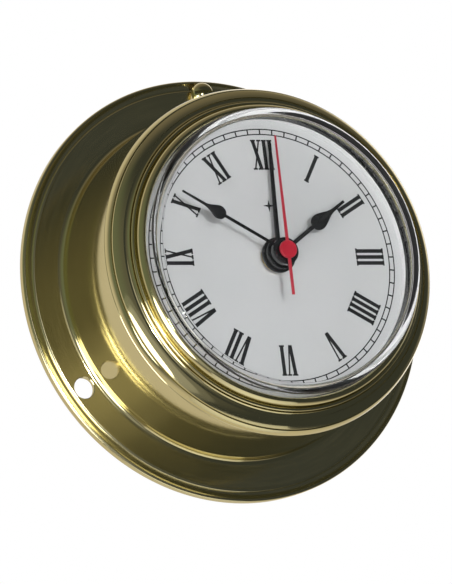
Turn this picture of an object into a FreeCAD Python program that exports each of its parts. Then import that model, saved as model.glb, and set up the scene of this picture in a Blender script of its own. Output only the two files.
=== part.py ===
import FreeCAD, Part
import math
import os

# Ship's bulkhead clock: a round brass case that is screwed to a wall, with a quartz
# alarm movement behind a white dial.
#
# Everything is drawn in the clock's face frame: x to the right, y towards 12 o'clock
# and z forward, out of the wall, with z = 0 on the wall.  export() turns the face frame
# into the part's own frame: +Z towards 12 o'clock, the dial facing -Y.

V = FreeCAD.Vector
CENTRE = V(0, 0, 0)
FORWARD = V(0, 0, 1)

# ---- case -----------------------------------------------------------------------
flange_r = 63.5          # outside radius of the wall flange
sheet = 1.4              # thickness of the spun brass
face_z = 2.6             # front of the flat part of the flange
face_r = 59.6            # where the flat part ends
cove_r = 60.7            # hollow between the flat part and the rim
cove_z = 1.95
crest_r = 63.1           # front edge of the rim
crest_z = 2.4
foot_r = 62.1            # inside of the rim, where it rests on the wall
drum_r = 51.2            # outside radius of the drum
drum_top = 32.2          # where the bezel meets the drum
fillet_r = 1.7           # inside corner between flange and drum
hole_r = 3.1             # fixing holes
top_hole_at = 57.5       # radius of the hole at 12 o'clock
low_hole_at = 56.4       # and of the two below it
low_hole_deg = 121.0     # which stand to either side of 12 o'clock
round_edge = 0.3

# ---- bezel, crystal and dial ----------------------------------------------------------
bezel_r = 51.4
bore_r = 44.1            # bore that holds crystal, rings and dial
lip_r = 42.4             # opening that the crystal stands through
lip_z = 40.1             # underside of the lip
skirt_r = 49.75          # skirt of the bezel, inside the drum
skirt_wall = 1.5
seat_r = 50.7            # the bezel rests on the drum up to here
seam_gap = 0.3           # and leaves a fine open seam outside it
seam_edge = 0.12
ledge_z = 31.8           # floor of the bore, over the skirt
skirt_z = 26.4
crystal_r = 42.2
crystal_flange_r = 44.0
crystal_seat_z = 38.7
crystal_edge_r = 39.8    # where the rounded edge meets the domed front
crystal_edge_z = 46.5
crystal_top_z = 48.3
crystal_inner_r = 40.2
crystal_thick = 1.8
dial_r = 43.9
dial_front = 36.14
dial_thick = 0.5
spacer_r = 40.5
spacer_h = 1.9
gasket_r = 41.5
retainer_r = 41.0
retainer_h = 2.2

# ---- movement -------------------------------------------------------------------------
dial_back = dial_front - dial_thick
case_half = 28.0         # half the width of the square movement
wall = 1.3
cover_z = 18.6           # back of the movement
cover_front = cover_z + wall
plate_back = dial_back - wall
bay_top = -11.4          # top of the battery bay
partition_top = -10.4
mid_z = (27.9, 28.9)     # middle plate
boss_r = 3.5             # threaded post through the dial
pipe_gap = 0.05          # running clearance between pipe and arbor, on the radius
second_arbor_r = 0.5
minute_pipe_r = 1.25
hour_pipe_r = 2.05
alarm_pipe_r = 2.85
pivot_r = 0.6
knob_r = 4.2
knob_z = (13.8, 18.2)

# ---- gear train: teeth, and the module that suits each pair's centre distance ------------
rotor_teeth = 12
inter_teeth = (60, 10)
second_teeth = (60, 8)
third_teeth = (60, 8)
centre_teeth = (64, 12)
motion_teeth = (36, 10)
hour_teeth = 40
alarm_teeth = 48
alarm_knob_teeth = 12
fine_module = 0.25
centre_module = fine_module * (second_teeth[1] + third_teeth[0]) / (third_teeth[1] + centre_teeth[0])
hour_module = 0.4
motion_module = hour_module * (hour_teeth + motion_teeth[1]) / (centre_teeth[1] + motion_teeth[0])

inter_deg = 15.0
third_deg = 105.0
motion_deg = 175.0
alarm_deg = -37.0
rotor_deg = 50.0         # seen from the intermediate arbor


def polar(radius, degrees, origin=(0.0, 0.0)):
    angle = math.radians(degrees)
    return (origin[0] + radius * math.cos(angle), origin[1] + radius * math.sin(angle))


inter_at = polar(fine_module * (inter_teeth[1] + second_teeth[0]) / 2, inter_deg)
third_at = polar(fine_module * (second_teeth[1] + third_teeth[0]) / 2, third_deg)
motion_at = polar(hour_module * (hour_teeth + motion_teeth[1]) / 2, motion_deg)
alarm_at = polar(hour_module * (alarm_teeth + alarm_knob_teeth) / 2, alarm_deg)
rotor_at = polar(fine_module * (rotor_teeth + inter_teeth[0]) / 2, rotor_deg, inter_at)

# heights of the wheels, back to front
rotor_pinion_z = (20.8, 22.4)
inter_wheel_z = (21.1, 21.9)
inter_pinion_z = (22.2, 23.7)
second_wheel_z = (22.5, 23.3)
second_pinion_z = (23.8, 25.6)
third_wheel_z = (24.3, 25.1)
third_pinion_z = (25.9, 27.6)
centre_wheel_z = (26.4, 27.2)
cannon_z = (29.2, 30.7)
motion_wheel_z = (29.5, 30.4)
motion_pinion_z = (30.8, 32.4)
hour_wheel_z = (31.1, 32.0)
alarm_wheel_z = (32.7, 33.7)
alarm_pinion_z = (32.5, 33.9)
magnet_z = (23.0, 26.0)
stator_z = (23.8, 24.6)

# ---- hands ------------------------------------------------------------------------------
# Each hand is drawn pointing to 12 and turned clockwise to the time shown.
alarm_hand_deg = 2.5
hour_hand_deg = 55.0
minute_hand_deg = 300.4
second_hand_deg = 0.7
alarm_blade_z = dial_front + 2.6
hour_blade_z = dial_front + 4.1
minute_blade_z = dial_front + 6.7
second_blade_z = dial_front + 8.5


# ---- shapes used everywhere --------------------------------------------------------------
def disc(radius, z_low, z_high, at=(0.0, 0.0)):
    return Part.makeCylinder(radius, z_high - z_low, V(at[0], at[1], z_low), FORWARD)


def ring(inner, outer, z_low, z_high, at=(0.0, 0.0)):
    return disc(outer, z_low, z_high, at).cut(disc(inner, z_low - 1, z_high + 1, at))


def block(x_low, x_high, y_low, y_high, z_low, z_high):
    return Part.makeBox(x_high - x_low, y_high - y_low, z_high - z_low, V(x_low, y_low, z_low))


def rounded_block(half_x, half_y, corner, z_low, z_high):
    box = block(-half_x, half_x, -half_y, half_y, z_low, z_high)
    upright = [edge for edge in box.Edges if abs(edge.Vertexes[0].Z - edge.Vertexes[-1].Z) > 0.1]
    return box.makeFillet(corner, upright)


def spun(start, steps):
    """Turn a closed outline in (radius, height) about the clock's axis.

    Each step is one point for a straight line, or two points for an arc: a point on the
    way, then its end.
    """
    edges = []
    here = V(start[0], 0, start[1])
    for step in steps:
        end = V(step[-2], 0, step[-1])
        if len(step) == 4:
            edges.append(Part.Arc(here, V(step[0], 0, step[1]), end).toShape())
        else:
            edges.append(Part.LineSegment(here, end).toShape())
        here = end
    outline = Part.Face(Part.Wire(edges))
    return outline.revolve(CENTRE, FORWARD, 360)


def join(first, *others):
    return first.multiFuse(list(others)).removeSplitter()


def clockwise(shape, degrees):
    turned = shape.copy()
    turned.rotate(CENTRE, FORWARD, -degrees)
    return turned


# ---- gears ---------------------------------------------------------------------------------
tooth_root = 0.23        # half widths of a tooth as parts of the pitch
tooth_pitch = 0.19
tooth_tip = 0.07
addendum = 0.85
dedendum = 1.2


def gear(teeth, module, z_span, at, phase_deg):
    """A spur gear whose first tooth points phase_deg round from +x."""
    pitch_r = teeth * module / 2
    points = []
    pitch_deg = 360.0 / teeth
    for tooth in range(teeth):
        middle = phase_deg + tooth * pitch_deg
        for share, radius in (
            (-tooth_root, pitch_r - dedendum * module),
            (-tooth_pitch, pitch_r),
            (-tooth_tip, pitch_r + addendum * module),
            (tooth_tip, pitch_r + addendum * module),
            (tooth_pitch, pitch_r),
            (tooth_root, pitch_r - dedendum * module),
        ):
            x, y = polar(radius, middle + share * pitch_deg, at)
            points.append(V(x, y, z_span[0]))
    points.append(points[0])
    face = Part.Face(Part.makePolygon(points))
    return face.extrude(V(0, 0, z_span[1] - z_span[0]))


def meshed_phase(teeth, phase_deg, other_teeth, towards_deg):
    """Phase of the gear that meshes with a gear lying towards_deg from it."""
    pitch = 360.0 / teeth
    other_pitch = 360.0 / other_teeth
    ahead = ((towards_deg - phase_deg) % pitch) / pitch
    other_ahead = (0.5 - ahead) % 1.0
    return towards_deg + 180.0 - other_ahead * other_pitch


def spokes(wheel, count, hub, rim, z_span, at):
    """Cut round lightening holes in a wheel."""
    middle = (hub + rim) / 2
    hole = (rim - hub) / 2 - 0.4
    for number in range(count):
        where = polar(middle, 360.0 * number / count + 20, at)
        wheel = wheel.cut(disc(hole, z_span[0] - 1, z_span[1] + 1, where))
    return wheel


# The phases run from the second wheel outward along each mesh.
second_phase = 0.0
inter_pinion_phase = meshed_phase(second_teeth[0], second_phase, inter_teeth[1], inter_deg)
inter_wheel_phase = inter_pinion_phase
rotor_phase = meshed_phase(inter_teeth[0], inter_wheel_phase, rotor_teeth, rotor_deg)
third_wheel_phase = meshed_phase(second_teeth[1], second_phase, third_teeth[0], third_deg)
third_pinion_phase = third_wheel_phase
centre_phase = meshed_phase(third_teeth[1], third_pinion_phase, centre_teeth[0], third_deg + 180)
cannon_phase = centre_phase
motion_wheel_phase = meshed_phase(centre_teeth[1], cannon_phase, motion_teeth[0], motion_deg)
motion_pinion_phase = motion_wheel_phase
hour_phase = meshed_phase(motion_teeth[1], motion_pinion_phase, hour_teeth, motion_deg + 180)
alarm_phase = 0.0
alarm_pinion_phase = meshed_phase(alarm_teeth, alarm_phase, alarm_knob_teeth, alarm_deg)


# ---- case, bezel and glass ------------------------------------------------------------------
def case_body():
    """Flange and drum in one piece: flat flange, hollow, sharp rim, small inside corner."""
    inner_fillet = fillet_r + sheet
    corner_r = drum_r + fillet_r
    inside_r = drum_r - sheet
    back_z = face_z - sheet
    slant = math.sqrt(0.5)
    body = spun((foot_r, 0), [
        (flange_r - round_edge, 0),
        (flange_r - round_edge * 0.3, round_edge * 0.3, flange_r, round_edge),
        (flange_r, crest_z - round_edge),
        (flange_r - round_edge * 0.4, crest_z - round_edge * 0.1, crest_r, crest_z),
        ((cove_r + crest_r) / 2, cove_z + 0.1, cove_r, cove_z),
        (cove_r - 0.3, face_z - 0.2, face_r, face_z),
        (corner_r, face_z),
        (corner_r - fillet_r * slant, face_z + fillet_r * (1 - slant), drum_r, face_z + fillet_r),
        (drum_r, drum_top - round_edge),
        (drum_r - round_edge, drum_top),
        (inside_r, drum_top),
        (inside_r, back_z + inner_fillet),
        (corner_r - inner_fillet * slant, back_z + inner_fillet * (1 - slant), corner_r, back_z),
        (face_r - 1, back_z),
        (foot_r, cove_z - sheet),
        (foot_r, 0),
    ])
    for radius, clock_deg in (
        (top_hole_at, 0),
        (low_hole_at, low_hole_deg),
        (low_hole_at, -low_hole_deg),
    ):
        where = polar(radius, 90 - clock_deg)
        body = body.cut(disc(hole_r, -1, face_z + 1, where))
    return body


# The bezel's front: a rolled edge, a broad shoulder, a groove, a hollow, a small bead and the lip.
bezel_front = [
    (51.15, 33.65, 50.55, 34.85),
    (50.3, 34.8),
    (50.15, 35.4),
    (48.95, 36.45, 47.6, 37.2),
    (47.45, 36.8),
    (47.2, 36.8),
    (46.2, 37.15, 45.75, 38.2),
    (45.2, 39.0, 44.6, 38.45),
    (44.45, 38.6),
    (44.2, 40.7, 43.3, 41.55),
    (42.65, 41.4, 42.4, 40.9),
]


def bezel_ring():
    return spun((skirt_r, skirt_z), [
        (skirt_r, drum_top),
        (seat_r, drum_top),
        (seat_r, drum_top + seam_gap),
        (bezel_r - seam_edge, drum_top + seam_gap),
        (bezel_r, drum_top + seam_gap + seam_edge),
        *bezel_front,
        (lip_r, lip_z),
        (bore_r, lip_z),
        (bore_r, ledge_z),
        (skirt_r - skirt_wall, ledge_z),
        (skirt_r - skirt_wall, skirt_z),
        (skirt_r, skirt_z),
    ])


def dome_height(radius, top_z, ball_r):
    return top_z - ball_r + math.sqrt(ball_r ** 2 - radius ** 2)


def crystal():
    rise = crystal_top_z - crystal_edge_z
    ball_r = (crystal_edge_r ** 2 + rise ** 2) / (2 * rise)
    inner_ball_r = ball_r - crystal_thick
    inner_top = crystal_top_z - crystal_thick
    inner_edge_r = crystal_inner_r - 1.3
    inner_edge_z = dome_height(inner_edge_r, inner_top, inner_ball_r)
    edge_drop = crystal_r - crystal_edge_r
    half_r = crystal_edge_r / 2
    return spun((0, inner_top), [
        (half_r, dome_height(half_r, inner_top, inner_ball_r), inner_edge_r, inner_edge_z),
        (crystal_inner_r - 0.35, inner_edge_z - 0.4, crystal_inner_r, inner_edge_z - 1.3),
        (crystal_inner_r, crystal_seat_z),
        (crystal_flange_r, crystal_seat_z),
        (crystal_flange_r, lip_z),
        (crystal_r, lip_z),
        (crystal_r, crystal_edge_z - edge_drop),
        (crystal_r - 0.6, crystal_edge_z - 0.75, crystal_edge_r, crystal_edge_z),
        (half_r, dome_height(half_r, crystal_top_z, ball_r), 0, crystal_top_z),
        (0, inner_top),
    ])


def crystal_gasket():
    return ring(gasket_r, crystal_flange_r, dial_front + spacer_h, crystal_seat_z)


def spacer_ring():
    return ring(spacer_r, crystal_flange_r, dial_front, dial_front + spacer_h)


def dial_plate():
    return ring(boss_r + 0.1, dial_r, dial_back, dial_front)


def retaining_ring():
    clamp = ring(retainer_r, bore_r, dial_back - retainer_h, dial_back)
    for degrees in (0, 180):
        x, y = polar(retainer_r + 1.6, degrees)
        slot = block(x - 1.0, x + 1.0, y - 1.2, y + 1.2, dial_back - retainer_h - 1, dial_back - 1.2)
        clamp = clamp.cut(slot)
    return clamp


# ---- fixing screw -------------------------------------------------------------------------
screw_r = 1.75           # plain neck in the flange's hole
thread_r = 1.4           # core of the threaded part, behind the wall plane
screw_head_r = 3.4
screw_head_h = 3.1
screw_edge_h = 0.5       # straight edge under the rounded head
screw_crown = (0.74, 0.76)   # where the crown's arc passes, as shares of radius and height
screw_gap = 1.1          # the head stands this far off the flange
slot_half = 0.45
slot_floor = 1.7         # metal left under the slot
screw_length = 19.0
screw_tip = 5.0


def fixing_screw():
    """Round-head wood screw; the clock hangs with the hole's upper edge on its neck."""
    seat = top_hole_at + hole_r - screw_r
    head_z = face_z + screw_gap
    end_z = head_z - screw_length
    beyond = screw_head_r + 1
    crown = (screw_head_r * screw_crown[0], head_z + screw_head_h * screw_crown[1])
    screw = spun((0, end_z), [
        (thread_r, end_z + screw_tip),
        (thread_r, 0),
        (screw_r, 0),
        (screw_r, head_z),
        (screw_head_r, head_z),
        (screw_head_r, head_z + screw_edge_h),
        (crown[0], crown[1], 0, head_z + screw_head_h),
        (0, end_z),
    ])
    slot = block(-beyond, beyond, -slot_half, slot_half, head_z + slot_floor, head_z + screw_head_h + 1)
    screw = screw.cut(slot)
    screw.translate(V(0, seat, 0))
    return screw


# ---- movement: fixed pieces ------------------------------------------------------------------
nut_z = (dial_front + 0.3, dial_front + 1.5)
battery_r = 7.2
battery_at_y = -case_half + wall + 0.3 + battery_r
battery_z = plate_back - 0.3 - battery_r


def dial_washer():
    return ring(boss_r + 0.1, 4.5, dial_front, dial_front + 0.3)


def centre_nut():
    nut = ring(boss_r, 4.6, nut_z[0], nut_z[1])
    slot = block(-6, 6, -0.6, 0.6, nut_z[1] - 0.5, nut_z[1] + 1)
    return nut.cut(slot)


def movement_housing():
    """Front shell of the movement, with the post, the battery bay and the train space."""
    inner = case_half - wall
    shell = rounded_block(case_half, case_half, 3, cover_z, dial_back)
    train_space = block(-inner, inner, partition_top, inner, cover_front, plate_back)
    cover_seat = block(-40, 40, partition_top, 40, cover_z - 1, cover_front)
    bay = block(-inner, inner, -inner, bay_top, cover_z - 1, plate_back)
    post = disc(boss_r, dial_back - 0.5, nut_z[1] + 0.1)
    shell = join(shell.cut(train_space).cut(cover_seat).cut(bay), post)
    shell = shell.cut(disc(alarm_pipe_r + pipe_gap, plate_back - 1, nut_z[1] + 2))
    shell = shell.cut(disc(pivot_r + pipe_gap, plate_back - 1, plate_back + 0.8, alarm_at))
    window = block(12.0, 18.0, partition_top + 1, partition_top + 3, plate_back - 1, plate_back)
    return shell.cut(window)


def middle_plate():
    inner = case_half - wall - 0.05
    plate = block(-inner, inner, partition_top + 0.05, inner, mid_z[0], mid_z[1])
    plate = plate.cut(disc(minute_pipe_r + pipe_gap, mid_z[0] - 1, mid_z[1] + 1))
    for where in (motion_at, alarm_at, inter_at, third_at, rotor_at):
        plate = plate.cut(disc(pivot_r + pipe_gap, mid_z[0] - 1, mid_z[1] + 1, where))
    return plate


switch_x = 19.0
switch_y = 22.5
switch_travel = 3.0


def movement_cover():
    """Flat back cover over the train, with the knob holes, switch slot and sound slots."""
    plate = rounded_block(case_half, case_half, 3, cover_z, cover_front)
    plate = plate.common(block(-40, 40, partition_top, 40, cover_z, cover_front))
    for where in (motion_at, alarm_at):
        plate = plate.cut(disc(pivot_r * 2 + pipe_gap, cover_z - 1, cover_front + 1, where))
    for where in ((0.0, 0.0), inter_at, third_at, rotor_at):
        plate = plate.cut(disc(pivot_r + pipe_gap, cover_front - 0.9, cover_front + 1, where))
    slot = block(switch_x - 1.6, switch_x + 1.6 + switch_travel, switch_y - 1.1, switch_y + 1.1,
                 cover_z - 1, cover_front + 1)
    plate = plate.cut(slot)
    for number in range(4):
        x = buzzer_at[0] - 4.5 + 3 * number
        plate = plate.cut(block(x - 0.5, x + 0.5, buzzer_at[1] - 3.5, buzzer_at[1] + 3.5,
                                cover_z - 1, cover_front + 1))
    return plate


buzzer_at = (-14.5, 15.0)


def buzzer_disc():
    brass = disc(9.0, cover_front, cover_front + 0.3, buzzer_at)
    ceramic = disc(6.0, cover_front + 0.3, cover_front + 0.55, buzzer_at)
    return Part.makeCompound([brass, ceramic])


board_z = (22.6, 23.4)


def circuit_board():
    return block(-26.0, -4.0, 17.5, 26.0, board_z[0], board_z[1])


def board_parts():
    """Quartz crystal can and the chip under its blob."""
    can = Part.makeCylinder(1.0, 6.0, V(-24.5, 23.8, board_z[1] + 1.0), V(1, 0, 0))
    chip = Part.makeCone(2.4, 1.5, 0.9, V(-10.5, 21.0, board_z[1]), FORWARD)
    return Part.makeCompound([can, chip])


coil_x = 23.3
coil_r = 2.6
coil_y = (-2.2, 14.4)
core_y = (-7.5, 19.7)
core_z = (stator_z[1], stator_z[1] + 0.8)


def stator():
    x, y = rotor_at
    eye = disc(5.4, stator_z[0], stator_z[1], rotor_at)
    low_tab = block(x - 2.6, 25.5, core_y[0], core_y[0] + 4, stator_z[0], stator_z[1])
    low_leg = block(x - 2.6, x + 2.6, core_y[0], y, stator_z[0], stator_z[1])
    top_tab = block(x - 2.6, 25.5, core_y[1] - 4, core_y[1], stator_z[0], stator_z[1])
    top_leg = block(x - 2.6, x + 2.6, y, core_y[1], stator_z[0], stator_z[1])
    plate = join(eye, low_tab, low_leg, top_tab, top_leg)
    plate = plate.cut(disc(3.4, stator_z[0] - 1, stator_z[1] + 1, rotor_at))
    return plate.cut(disc(pivot_r * 2 + 0.3, stator_z[0] - 1, stator_z[1] + 1, alarm_at))


def coil_core():
    return block(coil_x - 1, coil_x + 1, core_y[0], core_y[1], core_z[0], core_z[1])


def coil_winding():
    middle_z = (core_z[0] + core_z[1]) / 2
    up = V(0, 1, 0)
    winding = Part.makeCylinder(coil_r - 0.5, coil_y[1] - coil_y[0], V(coil_x, coil_y[0], middle_z), up)
    low = Part.makeCylinder(coil_r, 0.7, V(coil_x, coil_y[0], middle_z), up)
    high = Part.makeCylinder(coil_r, 0.7, V(coil_x, coil_y[1] - 0.7, middle_z), up)
    coil = join(winding, low, high)
    return coil.cut(block(coil_x - 1, coil_x + 1, -30, 30, core_z[0], core_z[1]))


bay_half = case_half - wall
contact_thick = 0.4
battery_length = 50.5
battery_play = 0.05
contact_dish = 2 * bay_half - 2 * contact_thick - battery_length - 2 * battery_play


def contact_positive():
    """Flat contact strip at the left end of the battery bay."""
    left = -bay_half
    return block(left, left + contact_thick, battery_at_y - 5, battery_at_y + 5,
                 cover_z + 1, plate_back)


def contact_negative():
    """Sprung contact strip with a dished pad at the right end of the bay."""
    right = bay_half
    strip = block(right - contact_thick, right, battery_at_y - 5, battery_at_y + 5,
                  cover_z + 1, plate_back)
    foot = V(right - contact_thick, battery_at_y, battery_z)
    pad = Part.makeCone(4.2, 2.2, contact_dish, foot, V(-1, 0, 0))
    return join(strip, pad)


def battery():
    """AA cell lying across the bay, its button to the left."""
    left = -bay_half + contact_thick + battery_play
    along = V(1, 0, 0)
    nub_h = 1.2
    start = V(left + nub_h, battery_at_y, battery_z)
    cell = Part.makeCylinder(battery_r, battery_length - nub_h, start, along)
    rims = [edge for edge in cell.Edges if abs(edge.Vertexes[0].X - edge.Vertexes[-1].X) < 0.01]
    cell = cell.makeFillet(0.6, rims)
    nub = Part.makeCylinder(2.7, nub_h + 0.1, V(left, battery_at_y, battery_z), along)
    return join(cell, nub)


# ---- movement: turning pieces ------------------------------------------------------------------
def rotor():
    magnet = disc(3.0, magnet_z[0], magnet_z[1], rotor_at)
    pinion = gear(rotor_teeth, fine_module, rotor_pinion_z, rotor_at, rotor_phase)
    arbor = disc(pivot_r, cover_front - 0.7, mid_z[1], rotor_at)
    collar = disc(1.1, rotor_pinion_z[1], magnet_z[0], rotor_at)
    return join(magnet, pinion, arbor, collar)


def intermediate_wheel():
    wheel = gear(inter_teeth[0], fine_module, inter_wheel_z, inter_at, inter_wheel_phase)
    wheel = spokes(wheel, 5, 1.6, 6.6, inter_wheel_z, inter_at)
    pinion = gear(inter_teeth[1], fine_module, (inter_wheel_z[1], inter_pinion_z[1]), inter_at,
                  inter_pinion_phase)
    arbor = disc(pivot_r, cover_front - 0.7, mid_z[1], inter_at)
    return join(wheel, pinion, arbor)


def second_wheel():
    wheel = gear(second_teeth[0], fine_module, second_wheel_z, (0.0, 0.0), second_phase)
    wheel = spokes(wheel, 5, 1.6, 6.6, second_wheel_z, (0.0, 0.0))
    pinion = gear(second_teeth[1], fine_module, (second_wheel_z[1], second_pinion_z[1]), (0.0, 0.0),
                  second_phase)
    pivot = disc(pivot_r, cover_front - 0.7, second_wheel_z[0])
    arbor = disc(second_arbor_r, second_wheel_z[0], second_blade_z + 0.1)
    return join(wheel, pinion, pivot, arbor)


def third_wheel():
    wheel = gear(third_teeth[0], fine_module, third_wheel_z, third_at, third_wheel_phase)
    wheel = spokes(wheel, 5, 1.6, 6.6, third_wheel_z, third_at)
    pinion = gear(third_teeth[1], centre_module, (third_wheel_z[1], third_pinion_z[1]), third_at,
                  third_pinion_phase)
    arbor = disc(pivot_r, cover_front - 0.7, mid_z[1], third_at)
    return join(wheel, pinion, arbor)


def centre_wheel():
    """Minute arbor: a pipe with the wheel behind and the cannon pinion in front."""
    wheel = gear(centre_teeth[0], centre_module, centre_wheel_z, (0.0, 0.0), centre_phase)
    wheel = spokes(wheel, 5, 1.9, 6.6, centre_wheel_z, (0.0, 0.0))
    cannon = gear(centre_teeth[1], motion_module, cannon_z, (0.0, 0.0), cannon_phase)
    pipe = disc(minute_pipe_r, centre_wheel_z[0] - 0.4, minute_blade_z)
    return join(wheel, cannon, pipe).cut(disc(second_arbor_r + pipe_gap, 20, 50))


def motion_wheel():
    wheel = gear(motion_teeth[0], motion_module, motion_wheel_z, motion_at, motion_wheel_phase)
    wheel = spokes(wheel, 5, 1.6, 6.4, motion_wheel_z, motion_at)
    pinion = gear(motion_teeth[1], hour_module, (motion_wheel_z[1], motion_pinion_z[1]), motion_at,
                  motion_pinion_phase)
    arbor = disc(pivot_r, cover_front + 0.4, motion_pinion_z[1], motion_at)
    shank = disc(pivot_r * 2, knob_z[1], cover_front + 0.4, motion_at)
    return join(wheel, pinion, arbor, shank)


def hour_wheel():
    wheel = gear(hour_teeth, hour_module, hour_wheel_z, (0.0, 0.0), hour_phase)
    wheel = spokes(wheel, 5, 2.6, 7.2, hour_wheel_z, (0.0, 0.0))
    pipe = disc(hour_pipe_r, hour_wheel_z[0], hour_blade_z)
    return join(wheel, pipe).cut(disc(minute_pipe_r + pipe_gap, 20, 50))


def alarm_wheel():
    wheel = gear(alarm_teeth, hour_module, alarm_wheel_z, (0.0, 0.0), alarm_phase)
    wheel = spokes(wheel, 6, 3.4, 8.6, alarm_wheel_z, (0.0, 0.0))
    pipe = disc(alarm_pipe_r, alarm_wheel_z[0], alarm_blade_z)
    return join(wheel, pipe).cut(disc(hour_pipe_r + pipe_gap, 20, 50))


def alarm_pinion():
    pinion = gear(alarm_knob_teeth, hour_module, alarm_pinion_z, alarm_at, alarm_pinion_phase)
    arbor = disc(pivot_r, cover_front + 0.4, plate_back + 0.6, alarm_at)
    shank = disc(pivot_r * 2, knob_z[1], cover_front + 0.4, alarm_at)
    return join(pinion, arbor, shank)


def setting_knob(at):
    """Fluted knob pressed on a setting arbor behind the cover."""
    knob = disc(knob_r, knob_z[0], knob_z[1], at)
    flutes = 16
    for number in range(flutes):
        where = polar(knob_r + 0.25, 360.0 * number / flutes, at)
        knob = knob.cut(disc(0.5, knob_z[0] - 1, knob_z[1] - 0.8, where))
    recess = disc(knob_r - 1.3, knob_z[0] - 1, knob_z[0] + 0.4, at)
    return knob.cut(recess)


def alarm_switch():
    """Slide lever through the cover: a button outside and a foot inside."""
    button = block(switch_x - 1.5, switch_x + 1.5, switch_y - 2.0, switch_y + 2.0,
                   cover_z - 2.4, cover_z - 0.1)
    stem = block(switch_x - 1.5, switch_x + 1.5, switch_y - 1.0, switch_y + 1.0,
                 cover_z - 0.2, cover_front + 0.2)
    foot = block(switch_x - 1.5, switch_x + 1.5, switch_y - 2.0, switch_y + 2.0,
                 cover_front + 0.1, cover_front + 0.9)
    ridges = [block(switch_x - 1.2 + step, switch_x - 0.8 + step, switch_y - 1.8, switch_y + 1.8,
                    cover_z - 2.7, cover_z - 2.3) for step in (0.0, 1.0, 2.0)]
    return join(button, stem, foot, *ridges)


# ---- hands ----------------------------------------------------------------------------------
blade = 0.4


def flat_blade(right_side, z_low, thick):
    """A blade from its right-hand outline, first point low on the axis side, last at the tip."""
    side = [V(x, y, z_low) for x, y in right_side]
    mirrored = [V(-x, y, z_low) for x, y in reversed(right_side)]
    outline = Part.Wire([
        Part.makePolygon([mirrored[-1], side[0]]).Edges[0],
        *Part.makePolygon(side).Edges,
        Part.makePolygon([side[-1], mirrored[0]]).Edges[0],
        *Part.makePolygon(mirrored).Edges,
    ])
    return Part.Face(outline).extrude(V(0, 0, thick))


def pear_blade(stem_half, base_r, pear_half, pear_r, neck_half, neck_r, tip_half, tip_r, z_low):
    """Thin stem, a pear-shaped swelling and a needle point."""
    right = []
    steps = 14
    below = pear_r - base_r
    for step in range(steps + 1):
        turn = math.pi / 2 * step / steps
        half = stem_half + (pear_half - stem_half) * math.sin(turn)
        right.append((half, pear_r - below * math.cos(turn)))
    above = neck_r - pear_r
    for step in range(1, steps + 1):
        share = step / steps
        fall = 0.5 + 0.5 * math.cos(math.pi * share ** 0.85)
        half = neck_half + (pear_half - neck_half) * fall
        right.append((half, pear_r + above * share))
    outline = [(stem_half, 0.0)] + right + [(tip_half, tip_r)]
    return flat_blade(outline, z_low, blade)


def hub(radius, bore, z_low, z_high):
    """Turned hub with a small rounded rim."""
    edge = 0.25
    return spun((bore, z_low), [
        (radius, z_low),
        (radius, z_high - edge),
        (radius - edge * 0.3, z_high - edge * 0.3, radius - edge, z_high),
        (bore, z_high),
        (bore, z_low),
    ])


def alarm_hand():
    baton = flat_blade([(0.75, 0.0), (0.5, 33.0), (0.25, 33.6)], alarm_blade_z - blade, blade)
    base = hub(5.2, alarm_pipe_r, alarm_blade_z - 0.8, alarm_blade_z + 0.1)
    hand = join(base, baton.cut(disc(alarm_pipe_r, 20, 50)))
    return clockwise(hand, alarm_hand_deg)


def hour_hand():
    hand = pear_blade(0.6, 13.8, 2.35, 16.4, 0.55, 22.8, 0.4, 27.0, hour_blade_z - blade)
    base = hub(4.6, hour_pipe_r, hour_blade_z - 0.9, hour_blade_z + 0.4)
    hand = join(base, hand.cut(disc(hour_pipe_r, 20, 50)))
    return clockwise(hand, hour_hand_deg)


def minute_hand():
    hand = pear_blade(0.45, 20.4, 2.0, 22.6, 0.42, 27.4, 0.28, 34.9, minute_blade_z - blade)
    base = hub(4.0, minute_pipe_r, minute_blade_z - 1.3, minute_blade_z + 0.35)
    hand = join(base, hand.cut(disc(minute_pipe_r, 20, 50)))
    return clockwise(hand, minute_hand_deg)


def second_hand():
    tail = 13.3
    needle = flat_blade([(0.45, -tail), (0.5, 0.0), (0.28, 33.6)], second_blade_z - 0.25, 0.25)
    cap = hub(2.85, second_arbor_r, second_blade_z - 0.4, second_blade_z + 0.3)
    top = disc(2.6, second_blade_z + 0.1, second_blade_z + 0.3)
    tube = ring(second_arbor_r, 1.0, second_blade_z - 1.0, second_blade_z - 0.3)
    hand = join(cap, tube, needle.cut(disc(second_arbor_r, 20, 60)), top)
    return clockwise(hand, second_hand_deg)


# ---- files ------------------------------------------------------------------------------------
def export(name, shape):
    placed = shape.copy()
    placed.rotate(CENTRE, V(1, 0, 0), 90)
    placed.exportStep(os.path.join("parts", name + ".step"))


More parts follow.
